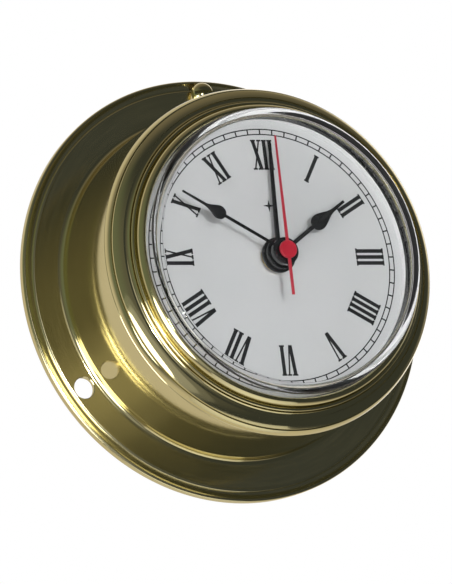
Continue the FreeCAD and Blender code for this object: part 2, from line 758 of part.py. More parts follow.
def main():
    os.makedirs("parts", exist_ok=True)
    nodes = {
        "case_body": case_body(),
        "bezel_ring": bezel_ring(),
        "crystal": crystal(),
        "crystal_gasket": crystal_gasket(),
        "spacer_ring": spacer_ring(),
        "dial_plate": dial_plate(),
        "retaining_ring": retaining_ring(),
        "fixing_screw": fixing_screw(),
        "dial_washer": dial_washer(),
        "centre_nut": centre_nut(),
        "movement_housing": movement_housing(),
        "middle_plate": middle_plate(),
        "movement_cover": movement_cover(),
        "buzzer_disc": buzzer_disc(),
        "circuit_board": circuit_board(),
        "board_parts": board_parts(),
        "stator": stator(),
        "coil_core": coil_core(),
        "coil_winding": coil_winding(),
        "contact_positive": contact_positive(),
        "contact_negative": contact_negative(),
        "battery": battery(),
        "rotor": rotor(),
        "intermediate_wheel": intermediate_wheel(),
        "second_wheel": second_wheel(),
        "third_wheel": third_wheel(),
        "centre_wheel": centre_wheel(),
        "motion_wheel": motion_wheel(),
        "hour_wheel": hour_wheel(),
        "alarm_wheel": alarm_wheel(),
        "alarm_pinion": alarm_pinion(),
        "time_knob": setting_knob(motion_at),
        "alarm_knob": setting_knob(alarm_at),
        "alarm_switch": alarm_switch(),
        "alarm_hand": alarm_hand(),
        "hour_hand": hour_hand(),
        "minute_hand": minute_hand(),
        "second_hand": second_hand(),
    }
    for name, shape in nodes.items():
        export(name, shape)
        print(name, len(shape.Solids), round(shape.Volume, 2), shape.isValid())


main()
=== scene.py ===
import math

import bmesh
import bpy
from mathutils import Matrix, Vector


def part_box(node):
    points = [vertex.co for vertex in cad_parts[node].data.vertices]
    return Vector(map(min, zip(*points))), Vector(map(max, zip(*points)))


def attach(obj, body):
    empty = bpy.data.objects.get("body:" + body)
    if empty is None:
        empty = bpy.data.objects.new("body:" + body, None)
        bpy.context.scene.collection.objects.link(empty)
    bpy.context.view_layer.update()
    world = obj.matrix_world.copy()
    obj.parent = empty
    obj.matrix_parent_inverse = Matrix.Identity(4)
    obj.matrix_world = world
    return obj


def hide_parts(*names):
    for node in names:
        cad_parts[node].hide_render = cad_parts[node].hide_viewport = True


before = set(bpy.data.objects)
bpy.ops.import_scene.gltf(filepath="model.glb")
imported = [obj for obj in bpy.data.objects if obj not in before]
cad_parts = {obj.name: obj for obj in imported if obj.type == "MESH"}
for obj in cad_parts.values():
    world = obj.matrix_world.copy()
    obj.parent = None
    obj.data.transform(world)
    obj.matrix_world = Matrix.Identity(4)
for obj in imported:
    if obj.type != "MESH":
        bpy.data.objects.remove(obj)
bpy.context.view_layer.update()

# The clock's axis is Y: the dial faces -Y and 12 o'clock is +Z.  Sizes below are in
# millimetres, radius from the axis and depth forward from the wall.
MM = 0.001
AROUND = 288             # faces round a turned piece
SHARP_DEG = 28.0         # edges sharper than this stay hard

# flange and drum
inside_by = 0.02         # keeps the turned flange inside the CAD's box
flange_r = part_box("case_body")[1].x / MM - inside_by
sheet = 1.4
face_z = 2.6             # the flange's flat face
face_r = 59.6
cove_r = 60.7            # the hollow inside the rim
cove_z = 1.95
crest_r = 63.1           # the rim's highest line in the CAD
crest_z = 2.4
foot_r = 62.1            # the rim stands on the wall from here outward
drum_r = 51.2
drum_top = 32.2
fillet_r = 1.7           # inside corner between flange and drum
hole_r = 3.1
holes = ((57.5, 0), (56.4, 121), (56.4, -121))    # radius and degrees clockwise from 12

# bezel
bezel_r = 51.4
bore_r = 44.1
ledge_z = 31.8           # floor of the bore
lip_r = 42.4             # the lip holds the crystal in
lip_z = 40.1
skirt_r = 49.75          # the skirt goes into the drum
skirt_wall = 1.5
skirt_z = 26.4
seat_r = 50.7            # the bezel rests on the drum up to here
seam_gap = 0.3           # and leaves a fine open seam outside it
seam_edge = 0.12

# crystal, dial and the rings between them
crystal_r = 42.2
crystal_flange_r = 44.0
crystal_seat_z = 38.7
crystal_edge_r = 39.8
crystal_rise = 1.8
crystal_top_z = -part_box("crystal")[0].y / MM
crystal_edge_z = crystal_top_z - crystal_rise
crystal_inner_r = 40.2
crystal_thick = 1.8
dial_front = -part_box("dial_plate")[0].y / MM
spacer_r = 40.5
spacer_h = 1.9
gasket_r = 41.5


# ---- meshes ---------------------------------------------------------------------------
def add_object(name, mesh):
    piece = bpy.data.objects.new(name, mesh)
    bpy.context.scene.collection.objects.link(piece)
    return piece


def circle_through(a, b, c):
    """Centre of the circle through three points of an outline."""
    (ax, ay), (bx, by), (cx, cy) = a, b, c
    d = 2 * (ax * (by - cy) + bx * (cy - ay) + cx * (ay - by))
    a2, b2, c2 = ax * ax + ay * ay, bx * bx + by * by, cx * cx + cy * cy
    x = (a2 * (by - cy) + b2 * (cy - ay) + c2 * (ay - by)) / d
    y = (a2 * (cx - bx) + b2 * (ax - cx) + c2 * (bx - ax)) / d
    return x, y


def arc_points(a, b, c, step_deg=6.0):
    """Points of the arc from a through b to c, without a itself."""
    x, y = circle_through(a, b, c)
    radius = math.hypot(a[0] - x, a[1] - y)
    start, middle, end = (math.atan2(p[1] - y, p[0] - x) for p in (a, b, c))
    sweep = (end - start) % math.tau
    if (middle - start) % math.tau > sweep:
        sweep -= math.tau
    count = max(3, math.ceil(abs(math.degrees(sweep)) / step_deg))
    turns = [start + sweep * (i + 1) / count for i in range(count)]
    return [(x + radius * math.cos(t), y + radius * math.sin(t)) for t in turns]


def trace(start, steps):
    """An outline as points; a step is a point, or a point on an arc and the arc's end."""
    points = [start]
    for step in steps:
        if len(step) == 4:
            points += arc_points(points[-1], step[:2], step[2:])
        else:
            points.append(step)
    if math.dist(points[0], points[-1]) < 1e-6:
        points.pop()
    return points


def lathe(name, points, around=AROUND, centre=(0.0, 0.0), closed=True):
    """Turn an outline of (radius, depth) points about a line along Y."""
    mesh = bpy.data.meshes.new(name)
    bm = bmesh.new()
    columns = []
    for radius, depth in points:
        if radius < 1e-6:
            pole = bm.verts.new((centre[0] * MM, -depth * MM, centre[1] * MM))
            columns.append([pole] * around)
            continue
        ring = []
        for i in range(around):
            turn = math.tau * i / around
            x = centre[0] + radius * math.cos(turn)
            z = centre[1] + radius * math.sin(turn)
            ring.append(bm.verts.new((x * MM, -depth * MM, z * MM)))
        columns.append(ring)
    pairs = list(zip(columns, columns[1:]))
    if closed:
        pairs.append((columns[-1], columns[0]))
    for low, high in pairs:
        for i in range(around):
            j = (i + 1) % around
            corners = [low[i], low[j], high[j], high[i]]
            unique = list(dict.fromkeys(corners))
            if len(unique) > 2:
                bm.faces.new(unique)
    bmesh.ops.recalc_face_normals(bm, faces=bm.faces)
    bm.to_mesh(mesh)
    bm.free()
    mesh.shade_smooth()
    mesh.set_sharp_from_angle(angle=math.radians(SHARP_DEG))
    return add_object(name, mesh)


def prism(name, loops, low, high):
    """Flat shapes in the face plane, (x, up) loops in millimetres, between two depths."""
    mesh = bpy.data.meshes.new(name)
    bm = bmesh.new()
    for loop in loops:
        back = [bm.verts.new((x * MM, -low * MM, y * MM)) for x, y in loop]
        front = [bm.verts.new((x * MM, -high * MM, y * MM)) for x, y in loop]
        bm.faces.new(back)
        bm.faces.new(front)
        for i in range(len(loop)):
            j = (i + 1) % len(loop)
            bm.faces.new([back[i], back[j], front[j], front[i]])
    bmesh.ops.recalc_face_normals(bm, faces=bm.faces)
    bm.to_mesh(mesh)
    bm.free()
    return add_object(name, mesh)


def apply_modifiers(piece):
    """Replace a piece's mesh by what its modifiers make of it."""
    graph = bpy.context.evaluated_depsgraph_get()
    done = bpy.data.meshes.new_from_object(piece.evaluated_get(graph))
    piece.modifiers.clear()
    piece.data = done


def cut(piece, cutter):
    """Subtract one closed piece from another and drop the cutter."""
    step = piece.modifiers.new("cut", "BOOLEAN")
    step.operation = "DIFFERENCE"
    step.solver = "EXACT"
    step.object = cutter
    bpy.context.view_layer.update()
    apply_modifiers(piece)
    bpy.data.objects.remove(cutter)


def soften(piece, width):
    """Round the sharp edges of a piece by a small bevel."""
    step = piece.modifiers.new("soften", "BEVEL")
    step.width = width * MM
    step.segments = 2
    step.limit_method = "ANGLE"
    step.angle_limit = math.radians(35)
    step.harden_normals = False
    bpy.context.view_layer.update()
    apply_modifiers(piece)
    piece.data.shade_smooth()
    piece.data.set_sharp_from_angle(angle=math.radians(40))


def turn_clockwise(piece, degrees):
    """Turn a piece about the clock's axis, clockwise as seen from the front."""
    piece.data.transform(Matrix.Rotation(math.radians(degrees), 4, "Y"))


def paint(piece, material):
    piece.data.materials.clear()
    piece.data.materials.append(material)


def place(piece, body, slot, *nodes):
    """Fix a piece to its body and hide the CAD nodes it stands for."""
    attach(piece, body)
    if nodes:
        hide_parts(*nodes)


def face_point(radius, clock_deg):
    """x and up of a point on the clock's face."""
    turn = math.radians(clock_deg)
    return radius * math.sin(turn), radius * math.cos(turn)


# ---- materials ------------------------------------------------------------------------
def new_material(name, **sockets):
    material = bpy.data.materials.new(name)
    material.use_nodes = True
    shader = material.node_tree.nodes["Principled BSDF"]
    for socket, value in sockets.items():
        shader.inputs[socket.replace("_", " ")].default_value = value
    return material, material.node_tree, shader


def add_node(tree, kind, **settings):
    node = tree.nodes.new(kind)
    for key, value in settings.items():
        setattr(node, key, value)
    return node


def maths(tree, operation, first, second=None):
    node = add_node(tree, "ShaderNodeMath", operation=operation)
    for index, value in enumerate((first, second)):
        if value is None:
            continue
        if isinstance(value, (int, float)):
            node.inputs[index].default_value = value
        else:
            tree.links.new(value, node.inputs[index])
    return node.outputs[0]


def object_noise(tree, scale, detail=3.0):
    """Noise in the object's own space, which is the row frame."""
    where = add_node(tree, "ShaderNodeTexCoord")
    noise = add_node(tree, "ShaderNodeTexNoise")
    noise.inputs["Scale"].default_value = scale
    noise.inputs["Detail"].default_value = detail
    tree.links.new(where.outputs["Object"], noise.inputs["Vector"])
    return noise.outputs["Fac"]


def turning_noise(tree, pitch, arc_scale, detail):
    """Noise drawn out round the clock's axis, as a lathe tool or a buffing wheel leaves it."""
    where = add_node(tree, "ShaderNodeTexCoord")
    split = add_node(tree, "ShaderNodeSeparateXYZ")
    tree.links.new(where.outputs["Object"], split.inputs[0])
    x, y, z = split.outputs
    radius = maths(tree, "SQRT", maths(tree, "ADD", maths(tree, "MULTIPLY", x, x),
                                       maths(tree, "MULTIPLY", z, z)))
    joined = add_node(tree, "ShaderNodeCombineXYZ")
    tree.links.new(maths(tree, "DIVIDE", radius, pitch * MM), joined.inputs[0])
    tree.links.new(maths(tree, "DIVIDE", y, pitch * MM), joined.inputs[1])
    cosine = maths(tree, "DIVIDE", x, radius)
    tree.links.new(maths(tree, "MULTIPLY", cosine, arc_scale), joined.inputs[2])
    noise = add_node(tree, "ShaderNodeTexNoise", noise_dimensions="4D")
    noise.inputs["Scale"].default_value = 1.0
    noise.inputs["Detail"].default_value = detail
    tree.links.new(joined.outputs[0], noise.inputs["Vector"])
    sine = maths(tree, "DIVIDE", z, radius)
    tree.links.new(maths(tree, "MULTIPLY", sine, arc_scale), noise.inputs["W"])
    return noise.outputs["Fac"]


def spread(tree, value, low, high):
    """Map the useful part of a noise, which is its middle, to a range."""
    node = add_node(tree, "ShaderNodeMapRange")
    node.inputs["From Min"].default_value = 0.35
    node.inputs["From Max"].default_value = 0.65
    node.inputs["To Min"].default_value = low
    node.inputs["To Max"].default_value = high
    tree.links.new(value, node.inputs["Value"])
    return node.outputs["Result"]


def colour_between(tree, factor, first, second):
    """Mix two colours; the first may be a colour or another node's output."""
    node = add_node(tree, "ShaderNodeMix", data_type="RGBA")
    if isinstance(first, tuple):
        node.inputs["A"].default_value = (*first, 1)
    else:
        tree.links.new(first, node.inputs["A"])
    node.inputs["B"].default_value = (*second, 1)
    tree.links.new(factor, node.inputs["Factor"])
    return node.outputs["Result"]


def add_bump(tree, shader, height, depth):
    bump = add_node(tree, "ShaderNodeBump")
    bump.inputs["Distance"].default_value = depth * MM
    bump.inputs["Strength"].default_value = 1.0
    tree.links.new(height, bump.inputs["Height"])
    tree.links.new(bump.outputs["Normal"], shader.inputs["Normal"])


def round_axis_tangent(tree, shader):
    tangent = add_node(tree, "ShaderNodeTangent", direction_type="RADIAL", axis="Y")
    tree.links.new(tangent.outputs["Tangent"], shader.inputs["Tangent"])


def brass(name, light, dark, rough, bump, pitch, anisotropic=0.0):
    """Turned brass: cloudy colour, fine rings round the clock's axis; bump and pitch in millimetres."""
    material, tree, shader = new_material(name, Metallic=1.0, Anisotropic=anisotropic)
    fine = turning_noise(tree, pitch, arc_scale=5.0, detail=3.0)
    cloud = object_noise(tree, 38.0)
    tree.links.new(colour_between(tree, spread(tree, cloud, 0.0, 1.0), light, dark),
                   shader.inputs["Base Color"])
    mixed = maths(tree, "ADD", maths(tree, "MULTIPLY", fine, 0.6), maths(tree, "MULTIPLY", cloud, 0.4))
    tree.links.new(spread(tree, mixed, *rough), shader.inputs["Roughness"])
    add_bump(tree, shader, fine, bump)
    if anisotropic:
        round_axis_tangent(tree, shader)
    return material


def speckled(name, light, dark, rough, scale=900.0, bump=0.01, **sockets):
    """Moulded or painted surface with a fine grain."""
    material, tree, shader = new_material(name, **sockets)
    grain = object_noise(tree, scale, detail=2.0)
    cloud = object_noise(tree, scale / 25.0)
    tree.links.new(colour_between(tree, spread(tree, cloud, 0.0, 1.0), light, dark),
                   shader.inputs["Base Color"])
    tree.links.new(spread(tree, cloud, *rough), shader.inputs["Roughness"])
    add_bump(tree, shader, grain, bump)
    return material


polished = brass("polished_brass", (0.80, 0.715, 0.40), (0.77, 0.68, 0.365), (0.07, 0.12),
                 bump=0.0002, pitch=0.35)
satin = brass("satin_brass", (0.79, 0.71, 0.42), (0.75, 0.67, 0.38), (0.12, 0.19),
              bump=0.00004, pitch=0.4, anisotropic=0.4)
raw_brass = brass("raw_brass", (0.66, 0.50, 0.25), (0.52, 0.38, 0.18), (0.32, 0.5), bump=0.002, pitch=0.3)
ink = speckled("black_ink", (0.008, 0.008, 0.009), (0.014, 0.014, 0.014), (0.5, 0.62),
               Specular_IOR_Level=0.15)
dial_white = speckled("dial_white", (0.50, 0.505, 0.51), (0.49, 0.495, 0.50), (0.38, 0.46),
                      scale=1400.0, bump=0.002)
ring_white = speckled("ring_white", (0.78, 0.78, 0.78), (0.75, 0.75, 0.75), (0.3, 0.4))
rubber = speckled("gasket_rubber", (0.03, 0.03, 0.032), (0.05, 0.05, 0.05), (0.55, 0.7))
black_lacquer = speckled("black_lacquer", (0.010, 0.010, 0.011), (0.016, 0.016, 0.016), (0.16, 0.26),
                         scale=700.0, bump=0.001)
red_lacquer = speckled("red_lacquer", (0.38, 0.009, 0.024), (0.34, 0.008, 0.021), (0.28, 0.38),
                       scale=700.0, bump=0.001)
black_plastic = speckled("black_plastic", (0.018, 0.018, 0.020), (0.03, 0.03, 0.032), (0.42, 0.55),
                         scale=1600.0, bump=0.03)
pale_plastic = speckled("pale_plastic", (0.72, 0.70, 0.64), (0.66, 0.64, 0.58), (0.35, 0.5), scale=1200.0)
steel = speckled("plain_steel", (0.42, 0.42, 0.43), (0.33, 0.33, 0.34), (0.25, 0.4),
                 bump=0.004, Metallic=1.0)
copper = speckled("copper_wire", (0.62, 0.25, 0.11), (0.5, 0.18, 0.08), (0.25, 0.4),
                  scale=1500.0, bump=0.02, Metallic=1.0)
board_green = speckled("board_green", (0.02, 0.14, 0.05), (0.03, 0.18, 0.07), (0.3, 0.45), bump=0.005)
magnet = speckled("magnet_grey", (0.10, 0.10, 0.11), (0.14, 0.14, 0.14), (0.45, 0.6),
                  scale=1200.0, bump=0.02)


def acrylic():
    material, tree, shader = new_material("clear_acrylic", Transmission_Weight=1.0, IOR=1.49, Roughness=0.0)
    haze = spread(tree, object_noise(tree, 60.0), 0.0, 1.0)
    tint = colour_between(tree, haze, (0.985, 0.99, 0.99), (0.975, 0.985, 0.985))
    tree.links.new(tint, shader.inputs["Base Color"])
    return material


clear = acrylic()


# ---- case and bezel ---------------------------------------------------------------------
def case_outline():
    """Flange and drum in one sheet, from the rim's foot round the front and back along the inside."""
    inner_fillet = fillet_r + sheet
    corner_r = drum_r + fillet_r
    inside_r = drum_r - sheet
    back_z = face_z - sheet
    slant = math.sqrt(0.5)
    edge = 0.3
    roll = 0.8           # soft front edge of the rim
    guard = 0.15         # extra rings that keep the flat face's shading flat
    return trace((foot_r, 0.0), [
        (flange_r - edge, 0.0),
        (flange_r - edge * 0.3, edge * 0.3, flange_r, edge),
        (flange_r, crest_z - roll),
        (flange_r - roll * (1 - slant), crest_z - roll * (1 - slant), flange_r - roll, crest_z),
        ((cove_r + crest_r) / 2, cove_z + 0.1, cove_r, cove_z),
        (cove_r - 0.3, face_z - 0.2, face_r, face_z),
        (face_r - guard, face_z),
        (corner_r + guard, face_z),
        (corner_r, face_z),
        (corner_r - fillet_r * slant, face_z + fillet_r * (1 - slant), drum_r, face_z + fillet_r),
        (drum_r, face_z + fillet_r + 1),
        (drum_r, drum_top - 1.3),
        (drum_r, drum_top - edge),
        (drum_r - edge, drum_top),
        (inside_r, drum_top),
        (inside_r, back_z + inner_fillet),
        (corner_r - inner_fillet * slant, back_z + inner_fillet * (1 - slant), corner_r, back_z),
        (corner_r + guard, back_z),
        (face_r - 1, back_z),
        (foot_r, cove_z - sheet),
    ])


def paint_case(mesh):
    """Polished outside, satin on the flange's front, raw brass inside the drum and behind the flange."""
    mesh.materials.clear()
    for material in (polished, satin, raw_brass):
        mesh.materials.append(material)
    slack = 0.05
    inner_wall = drum_r - sheet + slack
    drum_end = drum_top - slack
    back_face = face_z - sheet + 2 * slack
    satin_from = drum_r + fillet_r - 4 * slack
    satin_above = cove_z - 2 * slack
    for face in mesh.polygons:
        radius = math.hypot(face.center.x, face.center.z) / MM
        depth = -face.center.y / MM
        inside = radius < inner_wall and depth < drum_end
        behind = face.normal.y > 0.3 and depth < back_face
        if inside or behind:
            face.material_index = 2
        elif radius > satin_from and depth > satin_above and face.normal.y < -0.5:
            face.material_index = 1


def make_case():
    case = lathe("case_shell", case_outline())
    rim = 0.22           # small countersink that breaks the edge of each hole
    start = -1.0         # the cutters start behind the wall
    for radius, clock_deg in holes:
        cutter = lathe("cutter", [
            (0.0, start), (hole_r, start), (hole_r, face_z - rim),
            (hole_r + 2 * rim, face_z + rim), (0.0, face_z + rim),
        ], 64, centre=face_point(radius, clock_deg), closed=False)
        cut(case, cutter)
    paint_case(case.data)
    case.data.shade_smooth()
    case.data.set_sharp_from_angle(angle=math.radians(SHARP_DEG))
    place(case, "clock_case", "polished_brass", "case_body")


# The bezel's front: a rolled edge, a broad shoulder, a groove, a hollow, a small bead and the lip.
bezel_front = [
    (51.15, 33.65, 50.55, 34.85),
    (50.3, 34.8),
    (50.15, 35.4),
    (48.95, 36.45, 47.6, 37.2),
    (47.45, 36.8),
    (47.2, 36.8),
    (46.2, 37.15, 45.75, 38.2),
    (45.2, 39.0, 44.6, 38.45),
    (44.45, 38.6),
    (44.2, 40.7, 43.3, 41.55),
    (42.65, 41.4, lip_r, 40.9),
]


def make_bezel():
    bezel = lathe("bezel", trace((skirt_r, skirt_z), [
        (skirt_r, drum_top),
        (seat_r, drum_top),
        (seat_r, drum_top + seam_gap),
        (bezel_r - seam_edge, drum_top + seam_gap),
        (bezel_r, drum_top + seam_gap + seam_edge),
        *bezel_front,
        (lip_r, lip_z),
        (bore_r, lip_z),
        (bore_r, ledge_z),
        (skirt_r - skirt_wall, ledge_z),
        (skirt_r - skirt_wall, skirt_z),
    ]))
    paint(bezel, polished)
    place(bezel, "clock_case", "polished_brass", "bezel_ring")


# ---- crystal, rings and dial --------------------------------------------------------------
def dome(radius, top, ball_r):
    """Depth of a ball's cap at a radius from its axis."""
    return top - ball_r + math.sqrt(ball_r ** 2 - radius ** 2)


def dome_points(outer_r, top, ball_r, count=14):
    """Points of the dome from its edge to the axis."""
    radii = [outer_r * (count - i) / count for i in range(1, count + 1)]
    return [(radius, dome(radius, top, ball_r)) for radius in radii]


def make_crystal():
    rise = crystal_top_z - crystal_edge_z
    ball_r = (crystal_edge_r ** 2 + rise ** 2) / (2 * rise)
    inner_ball_r = ball_r - crystal_thick
    inner_top = crystal_top_z - crystal_thick
    inner_corner = 1.3
    inner_edge_r = crystal_inner_r - inner_corner
    inner_edge_z = dome(inner_edge_r, inner_top, inner_ball_r)
    edge_drop = crystal_r - crystal_edge_r
    outside = trace((crystal_flange_r, crystal_seat_z), [
        (crystal_flange_r, lip_z),
        (crystal_r, lip_z),
        (crystal_r, crystal_edge_z - edge_drop),
        (crystal_r - 0.6, crystal_edge_z - 0.75, crystal_edge_r, crystal_edge_z),
    ])
    inside = trace((inner_edge_r, inner_edge_z), [
        (crystal_inner_r - 0.35, inner_edge_z - 0.4, crystal_inner_r, inner_edge_z - inner_corner),
        (crystal_inner_r, crystal_seat_z),
    ])
    front = dome_points(crystal_edge_r, crystal_top_z, ball_r)
    back = list(reversed(dome_points(inner_edge_r, inner_top, inner_ball_r)))
    glass = lathe("crystal_lens", outside + front + back + inside)
    paint(glass, clear)
    glass.visible_shadow = False
    place(glass, "clock_case", "clear_crystal", "crystal")


def make_rings():
    edge = 0.15
    top = dial_front + spacer_h
    spacer = lathe("spacer_band", [
        (spacer_r, dial_front), (spacer_r, top - edge), (spacer_r + edge, top),
        (crystal_flange_r, top), (crystal_flange_r, dial_front),
    ])
    paint(spacer, ring_white)
    place(spacer, "clock_case", "white_ring", "spacer_ring")
    seal = lathe("gasket_band", [
        (gasket_r, top), (gasket_r, crystal_seat_z), (crystal_flange_r, crystal_seat_z),
        (crystal_flange_r, top),
    ])
    paint(seal, rubber)
    place(seal, "clock_case", "black_rubber", "crystal_gasket")


# ---- printing on the dial --------------------------------------------------------------
print_h = 0.02           # thickness of the ink
numeral_foot = 25.9      # radius of the numerals' feet
numeral_top = 34.85
stem = 1.12              # thick strokes
hair = 0.48              # thin strokes
serif_h = 0.5
serif_w = 1.62
thin_trim = 0.3          # the serif of a thin stroke is this much shorter
letter_gap = 0.16
wide = 3.3               # width of V and X
track_in = 36.45
track_out = 37.97
track_line = 0.34
tick = 0.42


def bar(x_low, x_high, y_low, y_high):
    return [(x_low, y_low), (x_high, y_low), (x_high, y_high), (x_low, y_high)]


def slanted(x_foot, x_top, width, y_low, y_high):
    half = width / 2
    return [(x_foot - half, y_low), (x_foot + half, y_low), (x_top + half, y_high), (x_top - half, y_high)]


def letter_i(x):
    middle = x + serif_w / 2
    return [
        bar(middle - stem / 2, middle + stem / 2, numeral_foot + serif_h, numeral_top - serif_h),
        bar(x, x + serif_w, numeral_foot, numeral_foot + serif_h),
        bar(x, x + serif_w, numeral_top - serif_h, numeral_top),
    ]


def letter_v(x):
    foot = x + wide / 2
    high = numeral_top - serif_h
    stem_shift, hair_shift = 0.1, 0.25    # the two strokes meet a little apart from the middle
    left = x + serif_w / 2
    right = x + wide - serif_w / 2 + hair_shift
    return [
        slanted(foot - stem_shift, left, stem, numeral_foot, high),
        slanted(foot + hair_shift, right, hair, numeral_foot, high),
        bar(x, x + serif_w + stem_shift, high, numeral_top),
        bar(x + wide - serif_w + thin_trim, x + wide, high, numeral_top),
    ]


def letter_x(x):
    left = x + serif_w / 2
    right = x + wide - serif_w / 2 + thin_trim / 2
    low = numeral_foot + serif_h
    high = numeral_top - serif_h
    return [
        slanted(right, left, stem, low, high),
        slanted(left, right, hair, low, high),
        bar(x, x + serif_w, high, numeral_top),
        bar(x + wide - serif_w + thin_trim, x + wide, high, numeral_top),
        bar(x + 0.1, x + serif_w - 0.2, numeral_foot, low),
        bar(x + wide - serif_w, x + wide, numeral_foot, low),
    ]


letters = {"I": (letter_i, serif_w), "V": (letter_v, wide), "X": (letter_x, wide)}
numerals = ("XII", "I", "II", "III", "IIII", "V", "VI", "VII", "VIII", "IX", "X", "XI")


def make_numerals():
    """Roman numerals with their feet towards the centre."""
    for hour, word in enumerate(numerals):
        total = sum(letters[letter][1] for letter in word) + letter_gap * (len(word) - 1)
        x = -total / 2
        loops = []
        for letter in word:
            draw, width = letters[letter]
            loops += draw(x)
            x += width + letter_gap
        piece = prism(f"numeral_{hour or 12}", loops, dial_front, dial_front + print_h)
        turn_clockwise(piece, 30 * hour)
        paint(piece, ink)
        place(piece, "clock_case", "black_hand")


def make_track():
    """Railroad minute track: two circles joined by sixty short lines."""
    for name, radius in (("track_inner", track_in), ("track_outer", track_out)):
        half = track_line / 2
        line = lathe(name, [
            (radius - half, dial_front), (radius - half, dial_front + print_h),
            (radius + half, dial_front + print_h), (radius + half, dial_front),
        ], 240)
        paint(line, ink)
        place(line, "clock_case", "black_hand")
    loops = []
    for minute in range(60):
        turn = math.radians(6 * minute)
        corners = bar(-tick / 2, tick / 2, track_in, track_out)
        loops.append([
            (x * math.cos(turn) + y * math.sin(turn), y * math.cos(turn) - x * math.sin(turn))
            for x, y in corners
        ])
    marks = prism("track_minutes", loops, dial_front, dial_front + print_h * 0.9)
    paint(marks, ink)
    place(marks, "clock_case", "black_hand")


def make_star():
    """A plain four-pointed compass star below XII."""
    centre_up = 15.2
    long_r, short_r = 1.9, 0.48
    points = []
    for i in range(8):
        reach = long_r if i % 2 == 0 else short_r
        x, up = face_point(reach, 45 * i)
        points.append((x, up + centre_up))
    star = prism("dial_star", [points], dial_front, dial_front + print_h)
    paint(star, ink)
    place(star, "clock_case", "black_hand")


# ---- hands --------------------------------------------------------------------------------
blade = 0.4              # thickness of the black hands; the heights are those of their fronts
alarm_blade_z = dial_front + 2.6
hour_blade_z = dial_front + 4.1
minute_blade_z = dial_front + 6.7
second_blade_z = dial_front + 8.5
alarm_hand_deg = 2.5
hour_hand_deg = 55.0
minute_hand_deg = 300.4
second_hand_deg = 0.7
cap_r = 2.65


def mirrored(right_side):
    """The whole outline from its right half."""
    return right_side + [(-x, y) for x, y in reversed(right_side)]


def pear_outline(start_r, stem_half, base_r, pear_half, pear_r, neck_half, neck_r, tip_half, tip_r):
    """Right half of a thin stem, a pear-shaped swelling and a needle point."""
    right = [(stem_half, start_r)]
    steps = 18
    fullness = 0.85      # below 1 the pear draws in sooner
    below = pear_r - base_r
    for step in range(steps + 1):
        turn = math.pi / 2 * step / steps
        half = stem_half + (pear_half - stem_half) * math.sin(turn)
        right.append((half, pear_r - below * math.cos(turn)))
    above = neck_r - pear_r
    for step in range(1, steps + 1):
        share = step / steps
        fall = 0.5 + 0.5 * math.cos(math.pi * share ** fullness)
        right.append((neck_half + (pear_half - neck_half) * fall, pear_r + above * share))
    return right + [(tip_half, tip_r)]


def hub(name, radius, bore, low, high):
    """A turned collar with a rounded front edge."""
    round_edge = 0.25
    return lathe(name, trace((bore, low), [
        (radius, low),
        (radius, high - round_edge),
        (radius - round_edge * 0.3, high - round_edge * 0.3, radius - round_edge, high),
        (bore, high),
    ]), 96)


def make_hand(name, outline, thick, top, hub_sizes, degrees, body, material, slot, node):
    """A flat blade with softened edges and a turned hub, as one piece each."""
    flat = prism(name + "_blade", [mirrored(outline)], top - thick, top)
    soften(flat, 0.06)
    turn_clockwise(flat, degrees)
    centre = hub(name + "_hub", **hub_sizes)
    for piece in (flat, centre):
        paint(piece, material)
        place(piece, body, slot)
    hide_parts(node)


def make_black_hands():
    make_hand("alarm_hand", [(0.75, 2.9), (0.5, 33.0), (0.25, 33.6)], blade, alarm_blade_z,
              dict(radius=5.2, bore=2.85, low=alarm_blade_z - 0.8, high=alarm_blade_z + 0.1),
              alarm_hand_deg, "alarm_time", black_lacquer, "black_hand", "alarm_hand")
    hour = pear_outline(start_r=2.1, stem_half=0.6, base_r=13.8, pear_half=2.35, pear_r=16.4,
                        neck_half=0.55, neck_r=22.8, tip_half=0.4, tip_r=27.0)
    make_hand("hour_hand", hour, blade, hour_blade_z,
              dict(radius=4.6, bore=2.05, low=hour_blade_z - 0.9, high=hour_blade_z + 0.4),
              hour_hand_deg, "hours", black_lacquer, "black_hand", "hour_hand")
    minute = pear_outline(start_r=1.3, stem_half=0.45, base_r=20.4, pear_half=2.0, pear_r=22.6,
                          neck_half=0.42, neck_r=27.4, tip_half=0.28, tip_r=34.9)
    make_hand("minute_hand", minute, blade, minute_blade_z,
              dict(radius=4.0, bore=1.25, low=minute_blade_z - 1.3, high=minute_blade_z + 0.35),
              minute_hand_deg, "minutes", black_lacquer, "black_hand", "minute_hand")


def make_second_hand():
    """Red needle with a tail, and the round cap over the hands' centre."""
    needle = prism("second_hand_blade", [mirrored([(0.45, -13.3), (0.5, 0.0), (0.28, 33.6)])],
                   second_blade_z - 0.25, second_blade_z)
    soften(needle, 0.05)
    turn_clockwise(needle, second_hand_deg)
    cap_low = second_blade_z - 0.4
    cap_high = second_blade_z + 0.3
    cap = lathe("second_hand_cap", trace((0.0, cap_low), [
        (cap_r, cap_low),
        (cap_r, second_blade_z),
        (cap_r - 0.1, second_blade_z + 0.22, cap_r - 0.35, cap_high),
        (0.0, cap_high),
    ]), 96, closed=False)
    for piece in (needle, cap):
        paint(piece, red_lacquer)
        place(piece, "seconds", "red_hand")
    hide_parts("second_hand")


